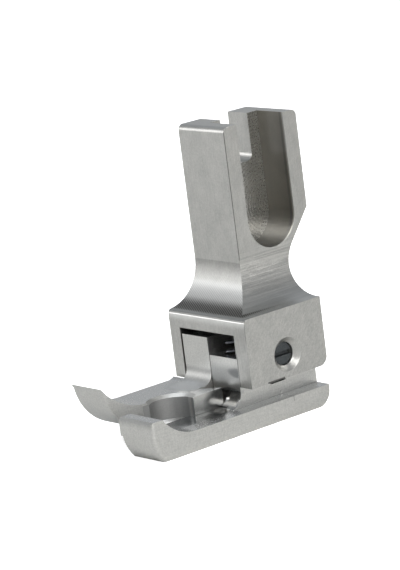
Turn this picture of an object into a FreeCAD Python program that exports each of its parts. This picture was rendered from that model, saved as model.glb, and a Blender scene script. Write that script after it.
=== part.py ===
import FreeCAD, Part
import os
import Sketcher

os.makedirs("parts", exist_ok=True)
Vector = FreeCAD.Vector
doc = FreeCAD.newDocument("PresserFoot")

# Driving sizes in millimetres: x to the operator's right, y away from the operator, z up
sizes = {
    # upright shank
    "shankLeft": -4.25,
    "shankWidth": 8.5,
    "shankDepth": 11.7,
    "shankTop": 35.45,
    "cornerRound": 0.7,
    "rearStepHeight": 23.3,
    "rearWaistHeight": 19.3,
    "rearWaistY": 2.7,
    "rearSweep": 9.5,
    # seat for the presser bar and slot for its clamp screw
    "barSeatWidth": 7.5,
    "barSeatFloor": -0.55,
    "barSeatBottom": 19.5,
    "screwSlotWidth": 4.4,
    "screwSlotBottom": 29.6,
    "screwSlotCorner": 0.9,
    "barRadius": 3.6,
    # housing block
    "blockRight": 10.0,
    "blockBottom": 5.0,
    "blockTop": 13.5,
    "blockRear": 1.2,
    "blockFront": -11.1,
    "flareRadius": 5.25,
    "blockFrontRound": 0.5,
    "blockRearRound": 1.2,
    # window for the two tangs
    "windowLeft": -2.4,
    "windowRight": 7.75,
    "windowTop": 11.4,
    # cross pin and its bores
    "pivotY": -5.0,
    "pivotZ": 7.8,
    "pinRadius": 1.4,
    "pinGap": 0.05,
    "threadRadius": 1.1,
    "threadGap": 0.02,
    "sinkRadius": 2.1,
    "pinRecess": 0.9,
    "driverSlotWidth": 0.5,
    "driverSlotDepth": 0.6,
    # left sole
    "leftTangLeft": -2.2,
    "leftTangRight": 2.5,
    "leftTangTop": 10.6,
    "leftSoleLeft": -4.25,
    "leftSoleBottom": 1.8,
    "leftSoleTop": 4.8,
    "leftRear": -0.6,
    "leftShoulderY": -11.6,
    "toeBottomY": -19.8,
    "toeTopY": -20.3,
    "toeTipY": -27.05,
    "toeTipZ": 8.2,
    "toeLowY": -26.75,
    "toeLowZ": 7.6,
    "toeBottomRadius": 7.0,
    "toeTopRadius": 8.3,
    "tangFront": -11.0,
    "leftTangFillet": 1.5,
    "fingerRight": 1.5,
    "padRight": 5.0,
    "padFront": -16.35,
    "padNeckY": -13.4,
    "padTipY": -11.0,
    # guide sole
    "guideLeft": 3.9,
    "guideRight": 10.0,
    "guideFenceX": 4.25,
    "guideFenceTop": 2.8,
    "ledgeTop": 2.5,
    "ledgeRear": 1.0,
    "ledgeRearRound": 2.0,
    "noseFront": -26.85,
    "noseTop": 5.05,
    "noseBack": -25.1,
    "noseShelf": 0.35,
    "noseLowY": -25.5,
    "noseBellyZ": 3.4,
    "noseFrontRadius": 5.0,
    "noseCornerRound": 0.5,
    "noseDipY": -20.3,
    "noseDipRadius": 6.0,
    "guideTangLeft": 2.6,
    "guideTangRight": 7.65,
    "guideTangTop": 8.45,
    "guideTangRear": 1.15,
    "guideTangFillet": 1.8,
    "padGap": 0.1,
    "guideTravel": 2.3,
    "slotCornerRound": 0.5,
    "needleX": 3.3,
    "needleY": -18.3,
    "needleRadius": 2.7,
    "padScallopY": -17.5,
    "padScallopRadius": 2.1,
    # compression spring over the guide tang
    "springX": 4.95,
    "springY": -8.7,
    "springRadius": 1.1,
    "springWire": 0.34,
    "springPocketRadius": 1.4,
    "springSeatZ": 5.6,
    "springRoofZ": 12.6,
    "springEndGap": 0.02,
    "springTurns": 6.0,
}

# Sizes that follow from the driving ones
derived = {
    "shankRight": "=shankLeft + shankWidth",
    "shankRear": "=shankDepth / 2",
    "shankFront": "=-shankDepth / 2",
    "flareEndY": "=blockFront + blockFrontRound",
    "frontRoundZ": "=blockTop - blockFrontRound",
    "flareTop": "=blockTop + sqrt(flareRadius ^ 2 - (flareRadius - shankFront + flareEndY) ^ 2)",
    "rightFlareRadius": "=flareTop - blockTop",
    "rightFlareEnd": "=shankRight + rightFlareRadius",
    "blockLength": "=blockRight - shankLeft",
    "beyondTop": "=shankTop + 2",
    "beyondRight": "=blockRight + 2",
    "belowBlock": "=blockBottom - 2",
    "barSeatCentre": "=barSeatBottom + barSeatWidth / 2",
    "barSeatHalf": "=barSeatWidth / 2",
    "barSeatMinus": "=-barSeatWidth / 2",
    "screwSlotCornerZ": "=screwSlotBottom + screwSlotCorner",
    "screwSlotInner": "=screwSlotWidth / 2 - screwSlotCorner",
    "screwSlotInnerMinus": "=screwSlotCorner - screwSlotWidth / 2",
    "screwSlotHalf": "=screwSlotWidth / 2",
    "screwSlotMinus": "=-screwSlotWidth / 2",
    "boreRadius": "=pinRadius + pinGap",
    "threadBoreRadius": "=threadRadius + threadGap",
    "pinEndX": "=blockRight - pinRecess",
    "leftSoleWidth": "=padRight - leftSoleLeft",
    "padRightOut": "=padRight + 1",
    "guideWidth": "=guideRight - guideLeft",
    "guideTangWidth": "=guideTangRight - guideTangLeft",
    "slotLow": "=pivotZ - boreRadius - guideTravel",
    "slotFront": "=pivotY - boreRadius",
    "slotBack": "=pivotY + boreRadius",
    "springLength": "=springRoofZ - springSeatZ",
    "belowSole": "=0 - 2",
    "middleX": "=(shankLeft + blockRight) / 2",
    "middleY": "=(toeTipY + shankRear) / 2",
}

sheet = doc.addObject("Spreadsheet::Sheet", "Sizes")
row = 1
for name, value in sizes.items():
    sheet.set("A%d" % row, name)
    sheet.set("B%d" % row, str(value))
    sheet.setAlias("B%d" % row, name)
    row += 1
doc.recompute()
for name, formula in derived.items():
    sheet.set("A%d" % row, name)
    sheet.set("B%d" % row, formula)
    sheet.setAlias("B%d" % row, name)
    row += 1
doc.recompute()


def value(name):
    return float(sheet.get(name))


def make_body(name):
    body = doc.addObject("PartDesign::Body", name)
    body.Label = name
    return body


def plane_of(body, role):
    for feature in body.Origin.OriginFeatures:
        if feature.Role == role:
            return feature


def make_sketch(body, name, role, offset=None):
    sketch = body.newObject("Sketcher::SketchObject", name)
    sketch.AttachmentSupport = [(plane_of(body, role), "")]
    sketch.MapMode = "FlatFace"
    if offset:
        sketch.setExpression("AttachmentOffset.Base.z", offset)
    return sketch


def bind(sketch, kind, first, first_pos, second, second_pos, name):
    number = sketch.addConstraint(
        Sketcher.Constraint(kind, first, first_pos, second, second_pos, value(name)))
    sketch.setExpression("Constraints[%d]" % number, "Sizes." + name)


def arc_centre(start, end, radius, side):
    chord = end - start
    middle = (start + end) * 0.5
    half = chord.Length / 2
    height = max(radius * radius - half * half, 0.0) ** 0.5
    normal = Vector(-chord.y, chord.x, 0)
    normal.normalize()
    return middle + normal * (height * side)


# A closed outline: corners are pairs of size names, and an arc leaves a corner
# when that corner's number is a key of arcs, with its radius and the side of its centre.
# A half circle is held by the level of its centre
def outline(sketch, corners, arcs=None):
    arcs = arcs or {}
    points = [Vector(value(u), value(v), 0) for u, v in corners]
    count = len(points)
    joints = []
    for number, start in enumerate(points):
        end = points[(number + 1) % count]
        if number not in arcs:
            sketch.addGeometry(Part.LineSegment(start, end), False)
            joints.append((1, 2))
            continue
        radius_name, side = arcs[number]
        radius = value(radius_name)
        centre = arc_centre(start, end, radius, side)
        circle = Part.Circle(centre, Vector(0, 0, 1), radius)
        if side > 0:
            arc = Part.ArcOfCircle(circle, circle.parameter(start), circle.parameter(end))
            joints.append((1, 2))
        else:
            arc = Part.ArcOfCircle(circle, circle.parameter(end), circle.parameter(start))
            joints.append((2, 1))
        sketch.addGeometry(arc, False)
    for number in range(count):
        following = (number + 1) % count
        sketch.addConstraint(Sketcher.Constraint(
            "Coincident", number, joints[number][1], following, joints[following][0]))
    for number, (u, v) in enumerate(corners):
        bind(sketch, "DistanceX", -1, 1, number, joints[number][0], u)
        bind(sketch, "DistanceY", -1, 1, number, joints[number][0], v)
    for number, (radius_name, side) in arcs.items():
        level = corners[number][1]
        chord = points[(number + 1) % count] - points[number]
        if abs(chord.Length - 2 * value(radius_name)) < 1e-6:
            bind(sketch, "DistanceY", -1, 1, number, 3, level)
            continue
        mark = sketch.addConstraint(Sketcher.Constraint("Radius", number, value(radius_name)))
        sketch.setExpression("Constraints[%d]" % mark, "Sizes." + radius_name)
    doc.recompute()


def ring(sketch, u, v, radius_name):
    number = sketch.addGeometry(
        Part.Circle(Vector(value(u), value(v), 0), Vector(0, 0, 1), value(radius_name)), False)
    bind(sketch, "DistanceX", -1, 1, number, 3, u)
    bind(sketch, "DistanceY", -1, 1, number, 3, v)
    mark = sketch.addConstraint(Sketcher.Constraint("Radius", number, value(radius_name)))
    sketch.setExpression("Constraints[%d]" % mark, "Sizes." + radius_name)
    doc.recompute()


def pad(body, sketch, length, reversed_way=False):
    feature = body.newObject("PartDesign::Pad", sketch.Name + "Pad")
    feature.Profile = sketch
    feature.setExpression("Length", length)
    feature.Reversed = reversed_way
    body.Tip = feature
    doc.recompute()
    return feature


def pocket(body, sketch, length=None, reversed_way=False):
    feature = body.newObject("PartDesign::Pocket", sketch.Name + "Cut")
    feature.Profile = sketch
    if length:
        feature.setExpression("Length", length)
        feature.Reversed = reversed_way
    else:
        feature.Type = "ThroughAll"
        feature.Midplane = True
    body.Tip = feature
    doc.recompute()
    return feature


def edges_where(shape, test):
    return ["Edge%d" % (number + 1) for number, edge in enumerate(shape.Edges) if test(edge)]


def near(first, second, slack=0.02):
    return abs(first - second) < slack


def lies(edge, x=None, y=None, z=None):
    box = edge.BoundBox
    if x is not None and not (near(box.XMin, x) and near(box.XMax, x)):
        return False
    if y is not None and not (near(box.YMin, y) and near(box.YMax, y)):
        return False
    if z is not None and not (near(box.ZMin, z) and near(box.ZMax, z)):
        return False
    return True


def soften(body, name, kind, size, test):
    base = body.Tip
    names = edges_where(base.Shape, test)
    feature = body.newObject("PartDesign::" + kind, name)
    feature.Base = (base, names)
    feature.setExpression("Radius" if kind == "Fillet" else "Size", size)
    body.Tip = feature
    doc.recompute()
    return feature


# Shank with its housing block, one milled piece
shank = make_body("shank")
side = make_sketch(shank, "ShankSide", "YZ_Plane", "Sizes.shankLeft")
outline(side, [("blockFront", "blockBottom"), ("blockRear", "blockBottom"), ("blockRear", "blockTop"),
               ("rearWaistY", "rearWaistHeight"), ("shankRear", "rearStepHeight"), ("shankRear", "shankTop"),
               ("shankFront", "shankTop"), ("shankFront", "flareTop"), ("flareEndY", "blockTop"),
               ("blockFront", "frontRoundZ")],
        {2: ("rearSweep", -1), 7: ("flareRadius", -1), 8: ("blockFrontRound", 1)})
pad(shank, side, "Sizes.blockLength")
flare = make_sketch(shank, "RightFlare", "XZ_Plane")
outline(flare, [("rightFlareEnd", "blockTop"), ("beyondRight", "blockTop"), ("beyondRight", "beyondTop"),
                ("shankRight", "beyondTop"), ("shankRight", "flareTop")],
        {4: ("rightFlareRadius", 1)})
pocket(shank, flare)
seat = make_sketch(shank, "BarSeat", "YZ_Plane", "Sizes.barSeatFloor")
outline(seat, [("barSeatMinus", "beyondTop"), ("barSeatMinus", "barSeatCentre"),
               ("barSeatHalf", "barSeatCentre"), ("barSeatHalf", "beyondTop")],
        {1: ("barSeatHalf", 1)})
pocket(shank, seat, "Sizes.shankWidth + 6", True)
slot = make_sketch(shank, "ScrewSlot", "YZ_Plane")
outline(slot, [("screwSlotMinus", "beyondTop"), ("screwSlotMinus", "screwSlotCornerZ"),
               ("screwSlotInnerMinus", "screwSlotBottom"), ("screwSlotInner", "screwSlotBottom"),
               ("screwSlotHalf", "screwSlotCornerZ"), ("screwSlotHalf", "beyondTop")],
        {1: ("screwSlotCorner", 1), 3: ("screwSlotCorner", 1)})
pocket(shank, slot)
window = make_sketch(shank, "Window", "XZ_Plane")
outline(window, [("windowLeft", "belowBlock"), ("windowRight", "belowBlock"),
                 ("windowRight", "windowTop"), ("windowLeft", "windowTop")])
pocket(shank, window)
rightBore = make_sketch(shank, "RightBore", "YZ_Plane")
ring(rightBore, "pivotY", "pivotZ", "boreRadius")
pocket(shank, rightBore, "Sizes.blockRight + 1", True)
leftBore = make_sketch(shank, "LeftBore", "YZ_Plane")
ring(leftBore, "pivotY", "pivotZ", "threadBoreRadius")
pocket(shank, leftBore, "8")
roofHole = make_sketch(shank, "SpringRoof", "XY_Plane", "Sizes.windowTop - 0.5")
ring(roofHole, "springX", "springY", "springPocketRadius")
pocket(shank, roofHole, "Sizes.springRoofZ - Sizes.windowTop + 0.5", True)
soften(shank, "BoreSink", "Chamfer", "Sizes.sinkRadius - Sizes.boreRadius",
       lambda e: lies(e, x=value("blockRight")) and near(e.BoundBox.YLength, 2 * value("boreRadius")))
soften(shank, "BlockRearCorner", "Fillet", "Sizes.blockRearRound",
       lambda e: lies(e, y=value("blockRear"), z=value("blockBottom")))
soften(shank, "ShankTopEdges", "Fillet", "Sizes.cornerRound",
       lambda e: lies(e, z=value("shankTop")) and (
           lies(e, y=value("shankFront")) or lies(e, y=value("shankRear"))))

# Left sole: a tang on the cross pin, a flat sole and an upturned toe
left = make_body("left_sole")
leftSide = make_sketch(left, "LeftSide", "YZ_Plane", "Sizes.leftSoleLeft")
outline(leftSide, [("toeBottomY", "leftSoleBottom"), ("leftRear", "leftSoleBottom"),
                   ("leftRear", "leftTangTop"), ("tangFront", "leftTangTop"),
                   ("tangFront", "leftSoleTop"), ("toeTopY", "leftSoleTop"),
                   ("toeTipY", "toeTipZ"), ("toeLowY", "toeLowZ")],
        {5: ("toeTopRadius", -1), 7: ("toeBottomRadius", 1)})
pad(left, leftSide, "Sizes.leftSoleWidth")
for name, formula in (("toeOut", "=toeTipY - 2"), ("leftSoleLeftOut", "=leftSoleLeft - 2"),
                      ("leftRearOut", "=leftRear + 2")):
    sheet.set("A%d" % row, name)
    sheet.set("B%d" % row, formula)
    sheet.setAlias("B%d" % row, name)
    row += 1
doc.recompute()
finger = make_sketch(left, "FingerSide", "XY_Plane")
outline(finger, [("fingerRight", "toeOut"), ("padRightOut", "toeOut"),
                 ("padRightOut", "padFront"), ("fingerRight", "padFront")])
pocket(left, finger)
padRear = make_sketch(left, "PadRear", "XY_Plane")
outline(padRear, [("leftTangRight", "padNeckY"), ("padRightOut", "padTipY"),
                  ("padRightOut", "leftRearOut"), ("leftTangRight", "leftRearOut")])
pocket(left, padRear)
soften(left, "LeftTangRoot", "Fillet", "Sizes.leftTangFillet",
       lambda e: lies(e, y=value("tangFront"), z=value("leftSoleTop")))
shoulder = make_sketch(left, "LeftShoulder", "XY_Plane", "Sizes.leftSoleBottom - 1")
sizesShoulder = [("leftSoleLeftOut", "leftShoulderY"), ("leftTangLeft", "leftShoulderY"),
                 ("leftTangLeft", "leftRearOut"), ("leftSoleLeftOut", "leftRearOut")]
outline(shoulder, sizesShoulder)
pocket(left, shoulder, "Sizes.leftTangTop + 4", True)
leftHole = make_sketch(left, "LeftHole", "YZ_Plane")
ring(leftHole, "pivotY", "pivotZ", "boreRadius")
pocket(left, leftHole)
leftNeedle = make_sketch(left, "LeftNeedle", "XY_Plane")
ring(leftNeedle, "needleX", "needleY", "needleRadius")
pocket(left, leftNeedle)
padScallop = make_sketch(left, "PadScallop", "XY_Plane")
ring(padScallop, "needleX", "padScallopY", "padScallopRadius")
pocket(left, padScallop)

# Guide sole: ledge and nose, and a slotted tang that slides on the cross pin
guide = make_body("guide_sole")
guideSide = make_sketch(guide, "GuideSide", "YZ_Plane", "Sizes.guideLeft")
for name, formula in (("zeroLevel", "=0"), ("noseShelfZ", "=noseTop - noseShelf"), ("noseShelfY", "=noseFront + noseShelf"),
                      ("guideLeftOut", "=guideTangLeft - 2"), ("tangLow", "=ledgeTop - 1"),
                      ("notchRight", "=padRight + padGap"), ("notchFront", "=padFront - 2 * padGap"),
                      ("notchRear", "=tangFront - padGap"), ("noseFrontOut", "=noseFront - 2"),
                      ("ledgeRearOut", "=ledgeRear + 2")):
    sheet.set("A%d" % row, name)
    sheet.set("B%d" % row, formula)
    sheet.setAlias("B%d" % row, name)
    row += 1
doc.recompute()
outline(guideSide, [("noseLowY", "zeroLevel"), ("ledgeRear", "zeroLevel"), ("ledgeRear", "ledgeTop"),
                    ("noseDipY", "ledgeTop"), ("noseBack", "noseTop"), ("noseShelfY", "noseTop"),
                    ("noseFront", "noseShelfZ"), ("noseFront", "noseBellyZ")],
        {3: ("noseDipRadius", -1), 7: ("noseFrontRadius", 1)})
pad(guide, guideSide, "Sizes.guideWidth")
soften(guide, "LedgeRearHeel", "Fillet", "Sizes.ledgeRearRound",
       lambda e: lies(e, y=value("ledgeRear"), z=0.0))
soften(guide, "NoseCorner", "Fillet", "Sizes.noseCornerRound",
       lambda e: lies(e, x=value("guideRight"), y=value("noseFront")))
tang = make_sketch(guide, "GuideTang", "YZ_Plane", "Sizes.guideTangLeft")
outline(tang, [("tangFront", "tangLow"), ("guideTangRear", "tangLow"),
               ("guideTangRear", "guideTangTop"), ("tangFront", "guideTangTop")])
pad(guide, tang, "Sizes.guideTangWidth")
soften(guide, "GuideTangRoot", "Fillet", "Sizes.guideTangFillet",
       lambda e: lies(e, y=value("tangFront"), z=value("ledgeTop")) and e.BoundBox.XLength > 2)
ledgeNotch = make_sketch(guide, "LedgeNotch", "XY_Plane")
outline(ledgeNotch, [("guideLeftOut", "notchFront"), ("notchRight", "notchFront"),
                     ("notchRight", "notchRear"), ("guideLeftOut", "notchRear")])
pocket(guide, ledgeNotch)
fence = make_sketch(guide, "GuideFence", "XZ_Plane")
outline(fence, [("guideLeftOut", "belowSole"), ("guideFenceX", "belowSole"),
                ("guideFenceX", "guideFenceTop"), ("guideLeftOut", "guideFenceTop")])
pocket(guide, fence)
pinSlot = make_sketch(guide, "PinSlot", "YZ_Plane")
outline(pinSlot, [("slotFront", "slotLow"), ("slotBack", "slotLow"),
                  ("slotBack", "pivotZ"), ("slotFront", "pivotZ")],
        {2: ("boreRadius", 1)})
pocket(guide, pinSlot)
springSeat = make_sketch(guide, "SpringSeat", "XY_Plane", "Sizes.springSeatZ")
ring(springSeat, "springX", "springY", "springPocketRadius")
pocket(guide, springSeat, "Sizes.guideTangTop", True)
soften(guide, "SlotCorners", "Fillet", "Sizes.slotCornerRound",
       lambda e: lies(e, z=value("slotLow")) and e.BoundBox.XLength > 2 and (
           lies(e, y=value("slotFront")) or lies(e, y=value("slotBack"))))

# Cross pin: a headless slotted screw, threaded into the left wall
pin = make_body("pivot_screw")
barrel = make_sketch(pin, "PinBarrel", "YZ_Plane", "Sizes.windowLeft + 0.1")
ring(barrel, "pivotY", "pivotZ", "pinRadius")
pad(pin, barrel, "Sizes.pinEndX - Sizes.windowLeft - 0.1")
stub = make_sketch(pin, "PinThread", "YZ_Plane", "Sizes.shankLeft + 0.15")
ring(stub, "pivotY", "pivotZ", "threadRadius")
pad(pin, stub, "Sizes.windowLeft - Sizes.shankLeft + 0.3")
for name, formula in (("driverLow", "=pivotZ - driverSlotWidth / 2"),
                      ("driverHigh", "=pivotZ + driverSlotWidth / 2"),
                      ("driverFloor", "=pinEndX - driverSlotDepth"),
                      ("driverOut", "=pinEndX + 1")):
    sheet.set("A%d" % row, name)
    sheet.set("B%d" % row, formula)
    sheet.setAlias("B%d" % row, name)
    row += 1
doc.recompute()
driver = make_sketch(pin, "DriverSlot", "XZ_Plane")
outline(driver, [("driverFloor", "driverLow"), ("driverOut", "driverLow"),
                 ("driverOut", "driverHigh"), ("driverFloor", "driverHigh")])
pocket(pin, driver)

# Compression spring between the block's roof and the guide tang
spring = make_body("guide_spring")
helix = spring.newObject("PartDesign::AdditiveHelix", "SpringCoil")
wire = make_sketch(spring, "SpringWire", "XZ_Plane")
for name, formula in (("wireHalf", "=springWire / 2"), ("wireLow", "=springEndGap"),
                      ("wireMiddleLow", "=springEndGap + springWire / 4"),
                      ("wireMiddleHigh", "=springEndGap + springWire * 3 / 4"),
                      ("wireHigh", "=springEndGap + springWire"),
                      ("wireInner", "=springRadius - springWire * 0.433"),
                      ("wireOuter", "=springRadius + springWire * 0.433")):
    sheet.set("A%d" % row, name)
    sheet.set("B%d" % row, formula)
    sheet.setAlias("B%d" % row, name)
    row += 1
doc.recompute()
outline(wire, [("springRadius", "wireLow"), ("wireOuter", "wireMiddleLow"), ("wireOuter", "wireMiddleHigh"),
               ("springRadius", "wireHigh"), ("wireInner", "wireMiddleHigh"), ("wireInner", "wireMiddleLow")])
helix.Profile = wire
helix.ReferenceAxis = (wire, ["V_Axis"])
helix.Mode = "height-turns-angle"
helix.setExpression("Height", "Sizes.springLength - Sizes.springWire - 2 * Sizes.springEndGap")
helix.setExpression("Turns", "Sizes.springTurns")
spring.Tip = helix
spring.setExpression("Placement.Base.x", "Sizes.springX - Sizes.middleX")
spring.setExpression("Placement.Base.y", "Sizes.springY - Sizes.middleY")
spring.setExpression("Placement.Base.z", "Sizes.springSeatZ")

# The finished foot stands with the middle of its base on the origin
for body in (shank, left, guide, pin):
    body.setExpression("Placement.Base.x", "-Sizes.middleX")
    body.setExpression("Placement.Base.y", "-Sizes.middleY")
doc.recompute()

for item in doc.Objects:
    if "Invalid" in item.State or "Error" in item.State:
        raise RuntimeError("not built: " + item.Name)
for body in (shank, left, guide, pin, spring):
    shape = body.Shape
    if shape.isNull() or not shape.isValid() or len(shape.Solids) != 1:
        raise RuntimeError("bad shape: " + body.Label)
    print(body.Label, round(shape.Volume, 2), shape.BoundBox)
    shape.exportStep("parts/" + body.Label + ".step")
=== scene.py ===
import bpy, bmesh, math
from mathutils import Matrix, Vector


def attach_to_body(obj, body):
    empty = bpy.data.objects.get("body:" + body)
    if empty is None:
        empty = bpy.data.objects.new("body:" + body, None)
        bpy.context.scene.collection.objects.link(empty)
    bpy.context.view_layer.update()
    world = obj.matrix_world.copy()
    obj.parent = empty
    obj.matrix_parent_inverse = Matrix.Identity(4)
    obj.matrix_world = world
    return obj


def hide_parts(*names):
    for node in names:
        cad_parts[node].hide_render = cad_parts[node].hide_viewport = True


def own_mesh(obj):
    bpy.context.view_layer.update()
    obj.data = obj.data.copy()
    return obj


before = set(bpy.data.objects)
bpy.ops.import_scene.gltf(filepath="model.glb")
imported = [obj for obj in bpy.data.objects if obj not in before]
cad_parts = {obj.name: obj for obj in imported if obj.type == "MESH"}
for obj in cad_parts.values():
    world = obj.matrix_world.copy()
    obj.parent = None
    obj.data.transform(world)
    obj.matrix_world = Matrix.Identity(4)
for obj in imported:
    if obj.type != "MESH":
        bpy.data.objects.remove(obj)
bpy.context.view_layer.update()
mm = 0.001
# the shank's own middle, in the frame's millimetres: shapes and textures are placed from it
shankPlace = {"x": -2.875, "y": 10.6}
print("stage: frame loaded,", len(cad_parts), "nodes")


class Sum:
    # wraps a socket, so that an expression on it adds Math nodes
    def __init__(self, paint, socket):
        self.paint = paint
        self.socket = socket

    def join(self, operation, *values):
        return self.paint.add("Math", {"operation": operation}, dict(enumerate(values)))

    def __add__(self, other):
        return self.join("ADD", self, other)

    def __radd__(self, other):
        return self.join("ADD", other, self)

    def __sub__(self, other):
        return self.join("SUBTRACT", self, other)

    def __rsub__(self, other):
        return self.join("SUBTRACT", other, self)

    def __mul__(self, other):
        return self.join("MULTIPLY", self, other)

    def __rmul__(self, other):
        return self.join("MULTIPLY", other, self)

    def __truediv__(self, other):
        return self.join("DIVIDE", self, other)

    def __rtruediv__(self, other):
        return self.join("DIVIDE", other, self)

    def above(self, low, high):
        # 0 below low, 1 above high, smooth between
        return self.paint.add("MapRange", {"interpolation_type": "SMOOTHSTEP"},
                              {"Value": self, "From Min": low, "From Max": high})

    def below(self, low, high):
        return 1.0 - self.above(low, high)

    def squared(self):
        return self * self

    def positive(self):
        return self.join("MAXIMUM", self, 0.0)

    def wave(self, pitch):
        # goes up and down between 0 and 1, once in each pitch
        return self.join("SINE", self * (math.tau / pitch)) * 0.5 + 0.5


# a shaded patch: how ragged its edge is, and where it fades out from its middle
patchLook = {"perMm": (0.7, 0.7, 0.7), "detail": 1.0, "roughness": 0.5, "ragged": 1.2,
             "inner": 0.9, "outer": 2.2}


class Paint:
    # a material or a world, and the nodes that it is given
    def __init__(self, owner, shader="Principled BSDF"):
        owner.use_nodes = True
        self.owner = owner
        self.tree = owner.node_tree
        self.shader = self.tree.nodes[shader]
        self.axes = {}

    def give(self, socket, given):
        if isinstance(given, Sum):
            self.tree.links.new(given.socket, socket)
        elif socket.type == "RGBA":
            socket.default_value = (*given, 1.0)
        else:
            socket.default_value = given

    def add(self, kind, settings=None, sockets=None, output=0):
        node = self.tree.nodes.new("ShaderNode" + kind)
        for key, setting in (settings or {}).items():
            if key == "stops":
                ramp = node.color_ramp
                while len(ramp.elements) < len(setting):
                    ramp.elements.new(0.5)
                for element, (place, colour) in zip(ramp.elements, setting):
                    element.position = place
                    element.color = (*colour, 1.0)
            else:
                setattr(node, key, setting)
        for key, given in (sockets or {}).items():
            self.give(node.inputs[key], given)
        return Sum(self, node.outputs[output])

    def feed(self, key, given):
        self.give(self.shader.inputs[key], given)

    def mix(self, factor, first, second):
        # sockets by number, because the Mix node names them alike for numbers and colours
        factorSocket, firstSocket, secondSocket, colourOutput = 0, 6, 7, 2
        return self.add("Mix", {"data_type": "RGBA"},
                        {factorSocket: factor, firstSocket: first, secondSocket: second}, colourOutput)

    def bump(self, height, strength, distance):
        normal = self.add("Bump", {}, {"Height": height, "Strength": strength, "Distance": distance})
        self.feed("Normal", normal)

    def millimetres(self):
        place = self.add("TexCoord", output="Object")
        return self.add("VectorMath", {"operation": "SCALE"}, {0: place, "Scale": 1.0 / mm})

    def measure(self):
        # x, y and z are millimetres from the shank's middle, nx, ny and nz the object's own normal
        place = self.millimetres()
        normal = self.add("TexCoord", output="Normal")
        for axis in "xyz":
            where = self.add("SeparateXYZ", {}, {0: place}, axis.upper())
            self.axes[axis] = where - shankPlace.get(axis, 0.0)
            self.axes["n" + axis] = self.add("SeparateXYZ", {}, {0: normal}, axis.upper())

    def noise(self, perMm, detail, roughness, gain=1.0, turn=(0.0, 0.0, 0.0)):
        # grains to the millimetre along x, y and z once turned; gain widens the tones about their middle
        turned = self.add("Mapping", {}, {"Vector": self.millimetres(), "Rotation": turn})
        scaled = self.add("Mapping", {}, {"Vector": turned, "Scale": perMm})
        tone = self.add("TexNoise", {}, {"Vector": scaled, "Scale": 1.0, "Detail": detail,
                                         "Roughness": roughness}, "Fac")
        return self.add("MapRange", {}, {"Value": tone, "From Min": 0.5 - 0.5 / gain,
                                         "From Max": 0.5 + 0.5 / gain})

    def zone(self, limits):
        # 1 inside every axis's low and high limit, fading over soft on both sides of a limit;
        # None leaves that side open
        parts = []
        for axis, (low, high, soft) in limits.items():
            if low is not None:
                parts.append(self.axes[axis].above(low - soft, low + soft))
            if high is not None:
                parts.append(self.axes[axis].below(high - soft, high + soft))
        return math.prod(parts[1:], start=parts[0])

    def patch(self, oval):
        # a soft ragged oval: each axis has its middle and its half width
        reach = self.noise(patchLook["perMm"], patchLook["detail"], patchLook["roughness"])
        reach = reach * patchLook["ragged"]
        for axis, (middle, half) in oval.items():
            reach = reach + ((self.axes[axis] - middle) / half).squared()
        return reach.below(patchLook["inner"], patchLook["outer"])

    def distance(self, middle):
        # millimetres from a line that two axes place
        (firstAxis, first), (secondAxis, second) = middle.items()
        total = (self.axes[firstAxis] - first).squared() + (self.axes[secondAxis] - second).squared()
        return total.join("SQRT", total)

    def masks(self, piece):
        # a piece's zones and patches by name
        named = {name: self.zone(limits) for name, limits in piece["zones"].items()}
        named.update({name: self.patch(oval) for name, oval in piece.get("patches", {}).items()})
        return named

    def grains(self, looks):
        return {name: self.noise(**look) for name, look in looks.items()}


def blend(tones, shares):
    # the sum of tones, each by its share
    parts = [tones[name] * share for name, share in shares.items()]
    return sum(parts[1:], start=parts[0])


def overlap(mask, names):
    # where all the named masks are
    first, *others = [mask[name] for name in names.split()]
    return math.prod(others, start=first)


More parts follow.
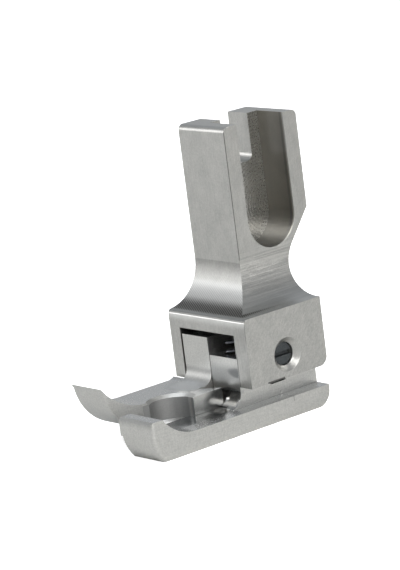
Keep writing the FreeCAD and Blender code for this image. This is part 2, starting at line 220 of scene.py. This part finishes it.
shankPiece = {
    # the steel's own light and dark tones, and a cool painted sky sheen for upward faces
    "light": (0.60, 0.595, 0.57), "dark": (0.33, 0.33, 0.322), "skySheen": (0.48, 0.50, 0.515),
    # a brownish painted shade for the bar seat, painted shade for the window's inside, and a dark for painted
    # shade and reflection lines and the seat's stains
    "seat": (0.20, 0.188, 0.163), "inside": (0.10, 0.10, 0.10), "line": (0.13, 0.13, 0.125),
    # a dark for the flare's hatch lines and for painted shade, a painted highlight, and a black for a small
    # pit's painted shade
    "cutterAndShade": (0.07, 0.07, 0.068), "rolledHighlight": (0.78, 0.78, 0.77), "pit": (0.01, 0.01, 0.01),
    "metallic": 1.0, "roughness": 0.3, "fineDulls": 0.08, "flareDulls": 0.1, "floorShines": 0.05,
    "bumpStrength": 0.6, "bumpDepth": 0.00001,
    # how much each grain shows in the height, and in the tone of each stretch
    "heights": {"brush": 0.8, "grain": 0.45, "fine": 0.3, "lines": 2.2, "hatch": 0.9, "floorSpares": 0.8},
    "tone": {"brush": 0.3, "fine": 0.3, "blotch": 0.25, "grain": 0.15},
    "sideTone": {"grain": 0.3, "fine": 0.45, "blotch": 0.25},
    "flareTone": {"lines": 0.75, "fine": 0.25},
    # how much the side flare's lines fade towards its top
    "flareTopFade": 0.6,
    # the hatch leans across the front flare, the swirls are rings on the seat's floor
    "hatchPitch": 0.37, "hatchLean": {"x": 0.8, "y": 1.25, "z": 0.72}, "hatchWaver": 0.12,
    "swirlPitch": 0.42, "swirlMiddle": {"y": 3.4, "z": 24.0}, "swirlWaver": 0.25,
    # a pit left by the cutter at the foot of the seat, its black painted as the shade inside it
    "pitMiddle": {"y": -1.9, "z": 21.4}, "pitInner": 0.09, "pitOuter": 0.16,
    # the block's front rolls over above this height
    "rollStart": 12.3, "rollDepth": 14.0,
    # how dark the painted shade at the flare's foot and the flare's hatch lines are, the brownish painted
    # shade on the seat's wall, deeper low down, and on its floor with its swirls, and the wall's painted
    # shadow at its foot and rim with its stains
    "flareFootShade": 0.6, "hatchFootLines": 0.35, "hatchLines": 0.25,
    "wall": 0.87, "wallLow": 0.13, "floor": 0.02, "floorSwirl": 0.2,
    "wallShadow": {"blotch": 0.3, "seatFoot": 0.7, "seatRim": 0.5},
    "grains": {
        "brush": {"perMm": (9.0, 9.0, 0.5), "detail": 4.0, "roughness": 0.65, "gain": 2.4},
        "grain": {"perMm": (3.2, 5.0, 1.1), "detail": 3.0, "roughness": 0.6, "gain": 2.6,
                  "turn": (0.7, 0.0, 0.0)},
        "fine": {"perMm": (5.0, 5.0, 5.0), "detail": 3.0, "roughness": 0.75, "gain": 2.8},
        "blotch": {"perMm": (0.55, 0.55, 0.4), "detail": 3.0, "roughness": 0.5, "gain": 2.0},
        "lines": {"perMm": (0.2, 0.1, 6.0), "detail": 4.0, "roughness": 0.75, "gain": 4.2}},
    # low limit, high limit and softness along each axis
    "zones": {
        "right": {"nx": (0.85, None, 0.1)},
        # upward faces, which take a painted sky sheen
        "tops": {"nz": (0.775, None, 0.175)},
        "blockRight": {"nx": (0.85, None, 0.1), "x": (9.85, None, 0.05), "z": (None, 13.5, 0.1)},
        # a dark band of painted shade on the block's lower edge, over solid steel, widening the slot's shade
        # below it
        "lowSlotShade": {"nx": (0.85, None, 0.1), "x": (9.85, None, 0.05), "y": (-8.5, -5.8, 0.06),
                    "z": (4.9, 5.2, 0.05)},
        "rollFace": {"ny": (None, -0.85, 0.1), "z": (None, 13.55, 0.05)},
        # a painted highlight on the block front's rolled top edge, and painted shade where the rolling meets
        # the flare
        "rollLight": {"ny": (None, -0.85, 0.1), "z": (12.5, 13.7, 0.4)},
        "rollShadow": {"ny": (None, -0.3, 0.1), "nz": (0.3, None, 0.1), "z": (13.0, 13.7, 0.1)},
        "flare": {"z": (13.5, 18.75, 0.08)},
        "frontFlare": {"nx": (None, 0.275, 0.125), "ny": (None, -0.06, 0.04), "z": (13.5, 18.75, 0.08)},
        # the front flare's foot in painted shade, a painted highlight across its middle, its top in light
        # painted shade
        "flareFoot": {"z": (None, 14.15, 0.45)},
        "flareLight": {"z": (14.3, 16.2, 0.5)},
        "flareTop": {"z": (16.75, None, 0.75)},
        "hatchDeep": {"z": (None, 15.6, 1.4)},
        "hatchDark": {"z": (None, 16.2, 2.0)},
        "sideFlare": {"nx": (0.125, None, 0.075), "z": (13.5, 20.2, 0.08)},
        "sideFlareTop": {"z": (19.4, None, 0.8)},
        # the bar seat takes a brownish painted shade, the wall darker towards the bottom, with painted shadow
        # at the wall's foot and along the rim
        "seatFloor": {"nx": (0.85, None, 0.1), "x": (-0.75, -0.45, 0.03), "z": (19.2, None, 0.2)},
        "seatWall": {"x": (-0.6, 4.0, 0.05), "y": (-3.8, 3.8, 0.02), "z": (19.4, None, 0.1)},
        "seatLow": {"z": (None, 25.0, 5.0)},
        "seatFoot": {"z": (None, 22.25, 1.75)},
        "seatRim": {"x": (3.5, 3.8, 0.05)},
        # the window's deep inside, in painted shade
        "window": {"x": (-2.45, 7.8, 0.03), "y": (-10.9, 1.1, 0.1), "z": (None, 11.375, 0.075)},
        # painted dark reflection lines along the rounded front and block corners, and painted shade in the
        # gap beside the guide tang
        "frontCorner": {"x": (4.17, 4.33, 0.03), "y": (-5.93, -5.77, 0.03), "z": (19.0, None, 0.5)},
        "tangGap": {"ny": (None, -0.85, 0.1), "x": (7.805, 7.935, 0.035), "z": (4.0, 9.2, 0.1)},
        "blockCorner": {"ny": (None, -0.7, 0.1), "x": (9.91, 10.03, 0.03), "z": (10.8, 13.3, 0.3)}},
    # tints, the lowest first: where, how much of it shows, and its colour; most are painted highlights, shade
    # and sky sheen, the rest the flare's hatch lines and the seat's swirls and stains
    "layers": (
        ("frontFlare flareLight", 0.7, "rolledHighlight"), ("frontFlare hatched", 1.0, "cutterAndShade"),
        ("frontFlare flareTop", 0.3, "cutterAndShade"), ("rollLight", 0.45, "rolledHighlight"),
        ("rollShadow", 0.5, "cutterAndShade"), ("tops", 0.6, "skySheen"), ("seatWall wallStain", 1.0, "seat"),
        ("seatFloor floorStain", 1.0, "seat"), ("window", 0.85, "inside"),
        ("seatWall wallShadow", 1.0, "line"), ("frontCorner", 0.8, "line"), ("tangGap", 0.85, "line"),
        ("blockCorner", 0.6, "line"), ("lowSlotShade", 0.85, "cutterAndShade"), ("seatFloor pit", 1.0, "pit")),
}


def milledSteel():
    # ground steel of the shank: brushed in front, a curled grain on the block's right,
    # end-mill swirls in the bar seat and cutter lines on the flares, under painted highlights, shade and sky
    # sheen
    look = shankPiece
    paint = Paint(bpy.data.materials.new("milledSteel"))
    paint.measure()
    mask = paint.masks(look)
    grains = paint.grains(look["grains"])
    blotch = grains["blotch"]
    hatch = (blend(paint.axes, look["hatchLean"]) + blotch * look["hatchWaver"]).wave(look["hatchPitch"])
    swirl = (paint.distance(look["swirlMiddle"]) + blotch * look["swirlWaver"]).wave(look["swirlPitch"])
    roll = (paint.axes["z"] - look["rollStart"]).positive() * mask["rollFace"]
    side = mask["blockRight"]
    frontFlare = mask["frontFlare"]
    sideFlare = mask["sideFlare"] * (1.0 - mask["sideFlareTop"] * look["flareTopFade"])
    seatFloor = mask["seatFloor"]

    share = look["heights"]
    brushed = (1.0 - mask["right"]) * (1.0 - mask["flare"])
    height = grains["brush"] * share["brush"] * brushed + grains["grain"] * share["grain"] * side
    height = height + grains["fine"] * share["fine"] * (1.0 - seatFloor * share["floorSpares"])
    height = height + hatch * share["hatch"] * frontFlare * mask["hatchDeep"]
    height = height + grains["lines"] * share["lines"] * sideFlare + swirl * seatFloor
    height = height - roll.squared() * look["rollDepth"]
    paint.bump(height, look["bumpStrength"], look["bumpDepth"])

    tone = blend(grains, look["tone"])
    tone = tone * (1.0 - side) + blend(grains, look["sideTone"]) * side
    tone = tone * (1.0 - sideFlare) + blend(grains, look["flareTone"]) * sideFlare
    colour = paint.mix(tone, look["dark"], look["light"])
    hatchLines = mask["flareFoot"] * look["hatchFootLines"] + mask["hatchDark"] * look["hatchLines"]
    # painted shade on the flare's foot, with the hatch lines over it
    mask["hatched"] = mask["flareFoot"] * look["flareFootShade"] + hatch * hatchLines
    # the painted sky sheen on upward faces leaves out the front flare
    mask["tops"] = mask["tops"] * (1.0 - frontFlare)
    mask["seatWall"] = mask["seatWall"] * (1.0 - seatFloor)
    # a brownish painted shade on the seat's wall, darker low down, and on its floor with the swirls
    mask["wallStain"] = look["wall"] + mask["seatLow"] * look["wallLow"]
    mask["floorStain"] = look["floor"] + swirl * look["floorSwirl"]
    # painted shadow at the wall's foot and along the rim, with stains
    mask["wallShadow"] = blend({**mask, "blotch": blotch}, look["wallShadow"])
    # the pit's black, painted as the shade inside it
    mask["pit"] = paint.distance(look["pitMiddle"]).below(look["pitInner"], look["pitOuter"])
    for names, amount, tint in look["layers"]:
        colour = paint.mix(overlap(mask, names) * amount, colour, look[tint])
    paint.feed("Base Color", colour)
    dull = grains["fine"] * look["fineDulls"] + frontFlare * look["flareDulls"]
    paint.feed("Roughness", look["roughness"] + dull - seatFloor * look["floorShines"])
    paint.feed("Metallic", look["metallic"])
    return paint.owner


soleLook = {
    # the sole's own light and dark tones, a cool painted sky sheen for its top, and two painted shades
    "light": (0.68, 0.675, 0.65), "dark": (0.42, 0.42, 0.41), "skySheen": (0.62, 0.64, 0.66),
    "shade": (0.12, 0.125, 0.13), "deep": (0.02, 0.022, 0.024),
    "metallic": 1.0, "satin": 0.3, "polish": 0.13, "fineDulls": 0.06, "topShines": 0.08, "topSkySheen": 0.7,
    "bumpStrength": 0.5, "bumpDepth": 0.00001,
    "heights": {"brush": 0.4, "grain": 0.5, "fine": 0.35},
    "tone": {"brush": 0.3, "grain": 0.2, "fine": 0.5}, "smoothTone": 0.5,
    "grains": {
        "brush": {"perMm": (6.0, 0.6, 6.0), "detail": 3.0, "roughness": 0.6, "gain": 2.2},
        "grain": {"perMm": (7.0, 7.0, 0.6), "detail": 3.0, "roughness": 0.6, "gain": 2.2},
        "fine": {"perMm": (5.0, 5.0, 5.0), "detail": 3.0, "roughness": 0.75, "gain": 2.8}},
}

# a polished pad beside the needle with a painted shadow on its side, a dull recess in painted shade,
# painted shade on the rim and at the tang's root, and a duller top before the tang in painted shade; each
# mark says where it is and how much it does there
leftSolePiece = {
    "zones": {
        "top": {"nz": (0.825, None, 0.125)},
        "polished": {"nx": (0.725, None, 0.125), "x": (4.7, None, 0.1)},
        "rimFace": {"nz": (0.5, 0.9, 0.08), "x": (0.4, None, 0.1), "y": (-22.0, -14.5, 0.1),
                    "z": (4.3, 4.82, 0.02)},
        "recessWall": {"nz": (-0.45, 0.45, 0.15), "x": (0.45, None, 0.05), "y": (-21.3, -15.4, 0.05),
                       "z": (None, 4.6, 0.05)},
        "tangRoot": {"ny": (None, -0.45, 0.15), "y": (-12.65, None, 0.15), "z": (4.95, 6.6, 0.3)}},
    "patches": {
        "padShadow": {"y": (-12.4, 2.0), "z": (3.6, 1.5)},
        "tangFoot": {"x": (0.0, 2.6), "y": (-13.4, 1.8)}},
    # shade and deep are painted shade; smooth, gloss and rough change the finish, dent sinks the bump
    "marks": (
        ("polished", {"smooth": 1.0, "gloss": 0.35}), ("polished padShadow", {"deep": 0.85}),
        ("recessWall unpolished", {"shade": 0.72, "rough": 0.35}),
        ("tangRoot", {"shade": 0.3, "rough": 0.14}), ("rimFace", {"shade": 0.4, "rough": 0.2}),
        ("tangFoot top", {"shade": 0.3, "rough": 0.4})),
}

# a polished ledge beside the needle, painted mirrored shadows on it and on the tang's front, painted shade in
# the crease and at the tang's root, and a scribed tick on the ledge
guideSolePiece = {
    "zones": {
        "top": {"nz": (0.825, None, 0.125)},
        "polished": {"x": (4.0, 7.6, 0.1), "y": (-22.0, -10.8, 0.4), "z": (2.4, 4.4, 0.1)},
        "tick": {"x": (7.45, None, 0.05), "y": (-4.85, -4.75, 0.02), "z": (1.9, 2.9, 0.05)},
        "crease": {"nz": (0.825, None, 0.125), "x": (7.69, 7.87, 0.05), "y": (-12.0, 1.1, 0.1)},
        "tangFace": {"ny": (None, -0.65, 0.15), "y": (None, -10.75, 0.05)},
        "tangBand": {"z": (4.6, 7.4, 0.7)},
        "rootBand": {"y": (-12.2, -10.5, 0.1)},
        "floorLow": {"z": (None, 3.5, 0.1)},
        "recessLow": {"z": (None, 3.1, 0.1)}},
    "patches": {
        "tangLobe": {"x": (7.3, 1.5), "z": (6.7, 0.6)},
        "tangRoot": {"x": (5.7, 1.9), "z": (4.3, 0.4)},
        "floorNear": {"x": (7.2, 1.1), "y": (-14.9, 1.9)},
        "floorFar": {"x": (4.6, 2.4), "y": (-19.2, 2.0)},
        "recessShadow": {"x": (5.4, 1.4), "y": (-13.2, 1.2)}},
    # shade and deep are painted shade; smooth, gloss and rough change the finish, dent sinks the bump
    "marks": (
        ("polished", {"smooth": 1.0, "gloss": 1.0}), ("tick", {"dent": 2.5, "shade": 0.6}),
        ("tangLobe tangFace", {"shade": 0.35}), ("tangBand tangFace", {"shade": 0.5}),
        ("tangRoot rootBand", {"shade": 0.6}), ("floorNear floorLow", {"shade": 0.7}),
        ("floorFar floorLow", {"shade": 0.7}), ("crease", {"shade": 0.7}),
        ("recessShadow recessLow", {"deep": 0.8})),
}


def soleSteel(name, piece):
    # satin sides and a smoother top under a painted sky sheen, with the marks, painted shade among them, that
    # only this sole shows
    look = soleLook
    paint = Paint(bpy.data.materials.new(name))
    paint.measure()
    mask = paint.masks(piece)
    mask["unpolished"] = 1.0 - mask["polished"]
    marks = dict.fromkeys(("smooth", "gloss", "dent", "deep", "shade", "rough"), 0.0)
    for names, amounts in piece["marks"]:
        where = overlap(mask, names)
        for kind, amount in amounts.items():
            marks[kind] = marks[kind] + where * amount
    grains = paint.grains(look["grains"])
    top = mask["top"]
    satin = 1.0 - marks["smooth"]
    share = look["heights"]
    height = grains["brush"] * share["brush"] * top + grains["grain"] * share["grain"] * (1.0 - top)
    height = (height + grains["fine"] * share["fine"]) * satin - marks["dent"]
    paint.bump(height, look["bumpStrength"], look["bumpDepth"])
    tone = blend(grains, look["tone"]) * satin + marks["smooth"] * look["smoothTone"]
    colour = paint.mix(tone, look["dark"], look["light"])
    # a painted sky sheen on the top, then the painted shade and deeper painted shade of the marks
    colour = paint.mix(top * look["topSkySheen"], colour, look["skySheen"])
    colour = paint.mix(marks["shade"], colour, look["shade"])
    paint.feed("Base Color", paint.mix(marks["deep"], colour, look["deep"]))
    dull = (grains["fine"] * look["fineDulls"] - top * look["topShines"]) * satin + marks["rough"]
    paint.feed("Roughness", look["satin"] + dull - marks["gloss"] * (look["satin"] - look["polish"]))
    paint.feed("Metallic", look["metallic"])
    return paint.owner


darkLooks = {
    "blackenedScrew": {"dark": (0.03, 0.034, 0.036), "light": (0.10, 0.11, 0.115), "perMm": (6.0, 6.0, 6.0),
                       "smoothest": 0.34, "duller": 0.2, "metallic": 0.9, "bumpStrength": 0.4,
                       "bumpDepth": 0.00001, "detail": 3.0, "roughness": 0.6},
    "drawnWire": {"dark": (0.04, 0.042, 0.046), "light": (0.16, 0.17, 0.19), "perMm": (4.0, 4.0, 4.0),
                  "smoothest": 0.24, "duller": 0.12, "metallic": 1.0, "bumpStrength": 0.2,
                  "bumpDepth": 0.000006, "detail": 3.0, "roughness": 0.6},
}


def darkSteel(name):
    look = darkLooks[name]
    paint = Paint(bpy.data.materials.new(name))
    fine = paint.noise(look["perMm"], look["detail"], look["roughness"])
    paint.feed("Base Color", paint.mix(fine, look["dark"], look["light"]))
    paint.feed("Roughness", look["smoothest"] + fine * look["duller"])
    paint.feed("Metallic", look["metallic"])
    paint.bump(fine, look["bumpStrength"], look["bumpDepth"])
    return paint.owner


# edges sharper than the angle are broken; rimSink is how wide the needle recess's rim is cut
edgeLook = {"segments": 3, "angle": 24.0, "rimSink": 0.38, "merge": 0.002, "flatAngle": 0.6,
            "flatWeight": 50}
# the recess round the needle is two overlapping arcs about one x; its rim is cut up to rimEndX,
# which keeps clear of the guide sole
needleRecess = {"x": 3.3, "wideY": -18.3, "wideRadius": 2.7, "narrowY": -17.5, "narrowRadius": 2.1,
                "rimEndX": 4.6, "rimRearY": -15.0, "rimZ": 4.7, "near": 0.1}


def middleOf(edge):
    # an edge's middle, in millimetres from the shank's middle
    middle = (edge.verts[0].co + edge.verts[1].co) / (2 * mm)
    return {"x": middle.x - shankPlace["x"], "y": middle.y - shankPlace["y"], "z": middle.z}


def needleRim(edge):
    recess = needleRecess
    at = middleOf(edge)
    wide = math.hypot(at["x"] - recess["x"], at["y"] - recess["wideY"]) - recess["wideRadius"]
    narrow = math.hypot(at["x"] - recess["x"], at["y"] - recess["narrowY"]) - recess["narrowRadius"]
    onArc = min(abs(wide), abs(narrow)) < recess["near"]
    return onArc and at["z"] > recess["rimZ"] and at["y"] < recess["rimRearY"] and at["x"] < recess["rimEndX"]


def shareOf(edge, rules):
    # an edge takes the share of the first rule whose limits hold its middle
    at = middleOf(edge)
    at["rise"] = abs((edge.verts[1].co - edge.verts[0].co).normalized().z)
    for limits, share in rules:
        if all(low < at[axis] < high for axis, (low, high) in limits.items()):
            return share


def dressed(node, name, material, width, rules, rimTest=None):
    # a merged copy of the solid with its flats joined and its edges broken; the rules give
    # each edge its share of the full width
    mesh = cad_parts[node].data.copy()
    mesh.name = name
    shape = bmesh.new()
    shape.from_mesh(mesh)
    bmesh.ops.remove_doubles(shape, verts=shape.verts, dist=edgeLook["merge"] * mm)
    bmesh.ops.dissolve_degenerate(shape, dist=edgeLook["merge"] * mm, edges=shape.edges)
    bmesh.ops.dissolve_limit(shape, angle_limit=math.radians(edgeLook["flatAngle"]),
                             use_dissolve_boundaries=False, verts=shape.verts, edges=shape.edges)
    rim = [edge for edge in shape.edges if rimTest and rimTest(edge)]
    if rim:
        bmesh.ops.bevel(shape, geom=rim, offset=edgeLook["rimSink"] * mm, offset_type="OFFSET", segments=1,
                        profile=0.5, affect="EDGES", clamp_overlap=False, material=-1)
        print("stage: rim edges sunk", len(rim))
    sharp = math.radians(edgeLook["angle"])
    weights = shape.edges.layers.float.new("bevel_weight_edge")
    for edge in shape.edges:
        edge.smooth = not (len(edge.link_faces) == 2 and edge.calc_face_angle(0.0) > sharp)
        if not edge.smooth:
            edge[weights] = shareOf(edge, rules)
    for face in shape.faces:
        face.smooth = True
    shape.to_mesh(mesh)
    shape.free()
    mesh.materials.clear()
    mesh.materials.append(material)
    piece = bpy.data.objects.new(name, mesh)
    bpy.context.scene.collection.objects.link(piece)
    soft = piece.modifiers.new("edges", "BEVEL")
    soft.width = width * mm
    soft.segments = edgeLook["segments"]
    soft.limit_method = "WEIGHT"
    soft.harden_normals = True
    soft.use_clamp_overlap = True
    flats = piece.modifiers.new("flats", "WEIGHTED_NORMAL")
    flats.mode = "FACE_AREA"
    flats.weight = edgeLook["flatWeight"]
    flats.keep_sharp = True
    return piece


def attach(piece, body, node):
    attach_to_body(piece, body)
    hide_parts(node)
    return piece


# the full width of each piece's broken edges, and limits with the share of it that edges whose
# middle is inside them take; rise is 1 for an upright edge and 0 for a level one
endless = math.inf
edgeRules = {
    "shank": {"width": 0.42, "rules": (
        ({"rise": (0.9, endless), "x": (9.5, endless), "z": (-endless, 14.0)}, 1.0),
        ({"x": (4.0, endless), "y": (-3.9, 3.9), "z": (19.0, endless)}, 0.55),
        ({"z": (35.0, endless)}, 0.45),
        ({}, 0.3))},
    "sole": {"width": 0.28, "rules": (
        ({"x": (2.0, 7.0), "y": (-endless, -17.0), "z": (4.5, endless)}, 0.35),
        ({"y": (-endless, -25.0)}, 0.7),
        ({"y": (-0.7, endless)}, 0.7),
        ({}, 0.5))},
    "screw": {"width": 0.08, "rules": (({}, 1.0),)},
}
leftSteel = soleSteel("leftSoleSteel", leftSolePiece)
guideSteel = soleSteel("guideSoleSteel", guideSolePiece)
attach(dressed("shank", "shankBody", milledSteel(), **edgeRules["shank"]),
       "housing", "shank")
attach(dressed("left_sole", "leftSole", leftSteel, **edgeRules["sole"], rimTest=needleRim),
       "left_sole", "left_sole")
attach(dressed("guide_sole", "guideSole", guideSteel, **edgeRules["sole"]),
       "guide_sole", "guide_sole")
attach(dressed("pivot_screw", "pivotScrew", darkSteel("blackenedScrew"), **edgeRules["screw"]),
       "housing", "pivot_screw")
print("stage: steel pieces dressed")

springPlan = {"x": 4.95, "y": -8.7, "low": 5.6, "high": 12.6, "radius": 1.1, "wire": 0.34, "turns": 6.0,
              "endGap": 0.03, "ringSteps": 10, "turnSteps": 28, "travel": 2.3}
springMiddle = (springPlan["x"] + shankPlace["x"], springPlan["y"] + shankPlace["y"])


def coilSpring():
    # a wire section swept by spin, turn by turn
    plan = springPlan
    shape = bmesh.new()
    start = plan["low"] + plan["wire"] / 2 + plan["endGap"]
    rise = plan["high"] - plan["low"] - plan["wire"] - 2 * plan["endGap"]
    centre = Vector((*springMiddle, 0.0))
    turn = Matrix.Rotation(math.radians(90.0), 4, "X")
    at = Matrix.Translation(centre + Vector((plan["radius"], 0.0, start)))
    section = bmesh.ops.create_circle(shape, cap_ends=False, segments=plan["ringSteps"],
                                      radius=plan["wire"] / 2, matrix=at @ turn)
    steps = int(plan["turns"] * plan["turnSteps"])
    edges = list({edge for vert in section["verts"] for edge in vert.link_edges})
    bmesh.ops.spin(shape, geom=list(section["verts"]) + edges, cent=centre, axis=(0.0, 0.0, 1.0),
                   dvec=(0.0, 0.0, rise / steps), angle=math.radians(360.0) * plan["turns"],
                   steps=steps, use_merge=False, use_normal_flip=False, use_duplicate=False)
    bmesh.ops.holes_fill(shape, edges=[edge for edge in shape.edges if edge.is_boundary], sides=0)
    bmesh.ops.recalc_face_normals(shape, faces=shape.faces)
    bmesh.ops.scale(shape, vec=(mm, mm, mm), verts=shape.verts)
    for face in shape.faces:
        face.smooth = True
    mesh = bpy.data.meshes.new("springCoil")
    shape.to_mesh(mesh)
    shape.free()
    mesh.materials.append(darkSteel("drawnWire"))
    piece = bpy.data.objects.new("springCoil", mesh)
    bpy.context.scene.collection.objects.link(piece)
    return piece


coil = attach(coilSpring(), "housing", "guide_spring")
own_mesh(coil)
print("stage: spring coiled")

# the table in metres, its tones, and the room's tones from the ground up
stagePlan = {"floorSize": 3.0, "floorZ": -0.00002, "floorGrey": (0.56, 0.56, 0.55),
             "floorWhite": (0.92, 0.92, 0.92), "floorGlow": 0.62, "floorRoughness": 0.9,
             "sky": ((0.0, (0.62, 0.62, 0.61)), (0.5, (0.60, 0.615, 0.63)), (0.88, (0.38, 0.385, 0.39))),
             "skyLevel": 0.85, "black": (0.0, 0.0, 0.0), "white": (1.0, 1.0, 1.0),
             "shadows": ({"x": (-4.8, 4.0), "y": (-11.2, 2.6)}, {"x": (-4.6, 2.0), "y": (-3.2, 1.6)})}


def paleFloor():
    plan = stagePlan
    shape = bmesh.new()
    bmesh.ops.create_grid(shape, x_segments=1, y_segments=1, size=plan["floorSize"])
    bmesh.ops.translate(shape, verts=shape.verts, vec=(0.0, 0.0, plan["floorZ"]))
    mesh = bpy.data.meshes.new("paleFloor")
    shape.to_mesh(mesh)
    shape.free()
    # the camera sees white, the metal sees the grey of an unlit table, and the table stays in
    # shadow close to the left sole, where the needle recess shows it
    paint = Paint(bpy.data.materials.new("paleFloor"))
    paint.measure()
    seen = paint.add("LightPath", output="Is Camera Ray")
    near, far = [paint.patch(shadow) for shadow in plan["shadows"]]
    lit = seen * (1.0 - (near + far))
    paint.feed("Base Color", paint.mix(lit, plan["floorGrey"], plan["floorWhite"]))
    paint.feed("Roughness", plan["floorRoughness"])
    paint.feed("Emission Color", paint.mix(lit, plan["black"], plan["white"]))
    paint.feed("Emission Strength", plan["floorGlow"])
    mesh.materials.append(paint.owner)
    floor = bpy.data.objects.new("paleFloor", mesh)
    bpy.context.scene.collection.objects.link(floor)


def studioWorld():
    # a soft grey room for the metal, plain white for the camera
    world = bpy.data.worlds.new("studio")
    bpy.context.scene.world = world
    paint = Paint(world, "Background")
    up = paint.add("SeparateXYZ", {}, {0: paint.add("TexCoord", output="Generated")}, "Z")
    paint.feed("Color", paint.add("ValToRGB", {"stops": stagePlan["sky"]}, {"Fac": up}))
    paint.feed("Strength", stagePlan["skyLevel"])
    room = Sum(paint, paint.shader.outputs[0])
    plain = paint.add("Background", {}, {"Color": stagePlan["white"]})
    seen = paint.add("LightPath", output="Is Camera Ray")
    shown = paint.add("MixShader", {}, {0: seen, 1: room, 2: plain})
    paint.give(paint.tree.nodes["World Output"].inputs["Surface"], shown)


# metres and watts; every lamp aims at the middle of the foot
studioLamps = {
    "keySoftbox": {"place": (-0.40, -0.27, 0.14), "size": (0.44, 0.22), "power": 0.62,
                   "colour": (1.0, 1.0, 1.0)},
    "sideSoftbox": {"place": (0.42, -0.05, 0.20), "size": (0.22, 0.30), "power": 2.4,
                    "colour": (1.0, 0.985, 0.96)},
    "topSoftbox": {"place": (0.02, -0.20, 0.50), "size": (0.30, 0.30), "power": 1.6,
                   "colour": (0.94, 0.97, 1.0)},
}
lampAim = Vector((0.0, 0.0, 0.015))


def softLamp(name, plan):
    lamp = bpy.data.lights.new(name, "AREA")
    lamp.shape = "RECTANGLE"
    lamp.size = plan["size"][0]
    lamp.size_y = plan["size"][1]
    lamp.energy = plan["power"]
    lamp.color = plan["colour"]
    holder = bpy.data.objects.new(name, lamp)
    holder.location = plan["place"]
    holder.rotation_euler = (lampAim - Vector(plan["place"])).to_track_quat("-Z", "Y").to_euler()
    bpy.context.scene.collection.objects.link(holder)


paleFloor()
studioWorld()
for lampName, lampPlan in studioLamps.items():
    softLamp(lampName, lampPlan)
print("stage: studio lit")

# the camera's place was solved from the photograph's edges: degrees, millimetres, pixels
view = {"azimuth": 51.44, "height": 12.64, "lean": -7.37, "away": 355.5, "pixelsPerMm": 8.194,
        "aim": (-2.875, 5.6, 19.0), "asideX": 2.708, "asideY": 3.416, "frameHeight": 570, "sensor": 36.0,
        "nearest": 10.0, "farthest": 20000.0}


def placeCamera():
    azimuth = math.radians(view["azimuth"])
    height = math.radians(view["height"])
    lean = math.radians(view["lean"])
    back = Vector((math.sin(azimuth) * math.cos(height), -math.cos(azimuth) * math.cos(height),
                   math.sin(height)))
    level = Vector((0.0, 0.0, 1.0)).cross(back).normalized()
    above = back.cross(level)
    right = level * math.cos(lean) + above * math.sin(lean)
    up = above * math.cos(lean) - level * math.sin(lean)
    eye = Vector(view["aim"]) + back * view["away"] - right * view["asideX"] - up * view["asideY"]
    lens = bpy.data.cameras.new("photoCamera")
    lens.sensor_width = view["sensor"]
    lens.lens = view["pixelsPerMm"] * view["away"] / view["frameHeight"] * view["sensor"]
    lens.clip_start = view["nearest"] * mm
    lens.clip_end = view["farthest"] * mm
    camera = bpy.data.objects.new("photoCamera", lens)
    basis = Matrix((right, up, back)).transposed().to_4x4()
    camera.matrix_world = Matrix.Translation(eye * mm) @ basis
    bpy.context.scene.collection.objects.link(camera)
    bpy.context.scene.camera = camera


placeCamera()
bpy.context.scene.view_settings.view_transform = "Standard"
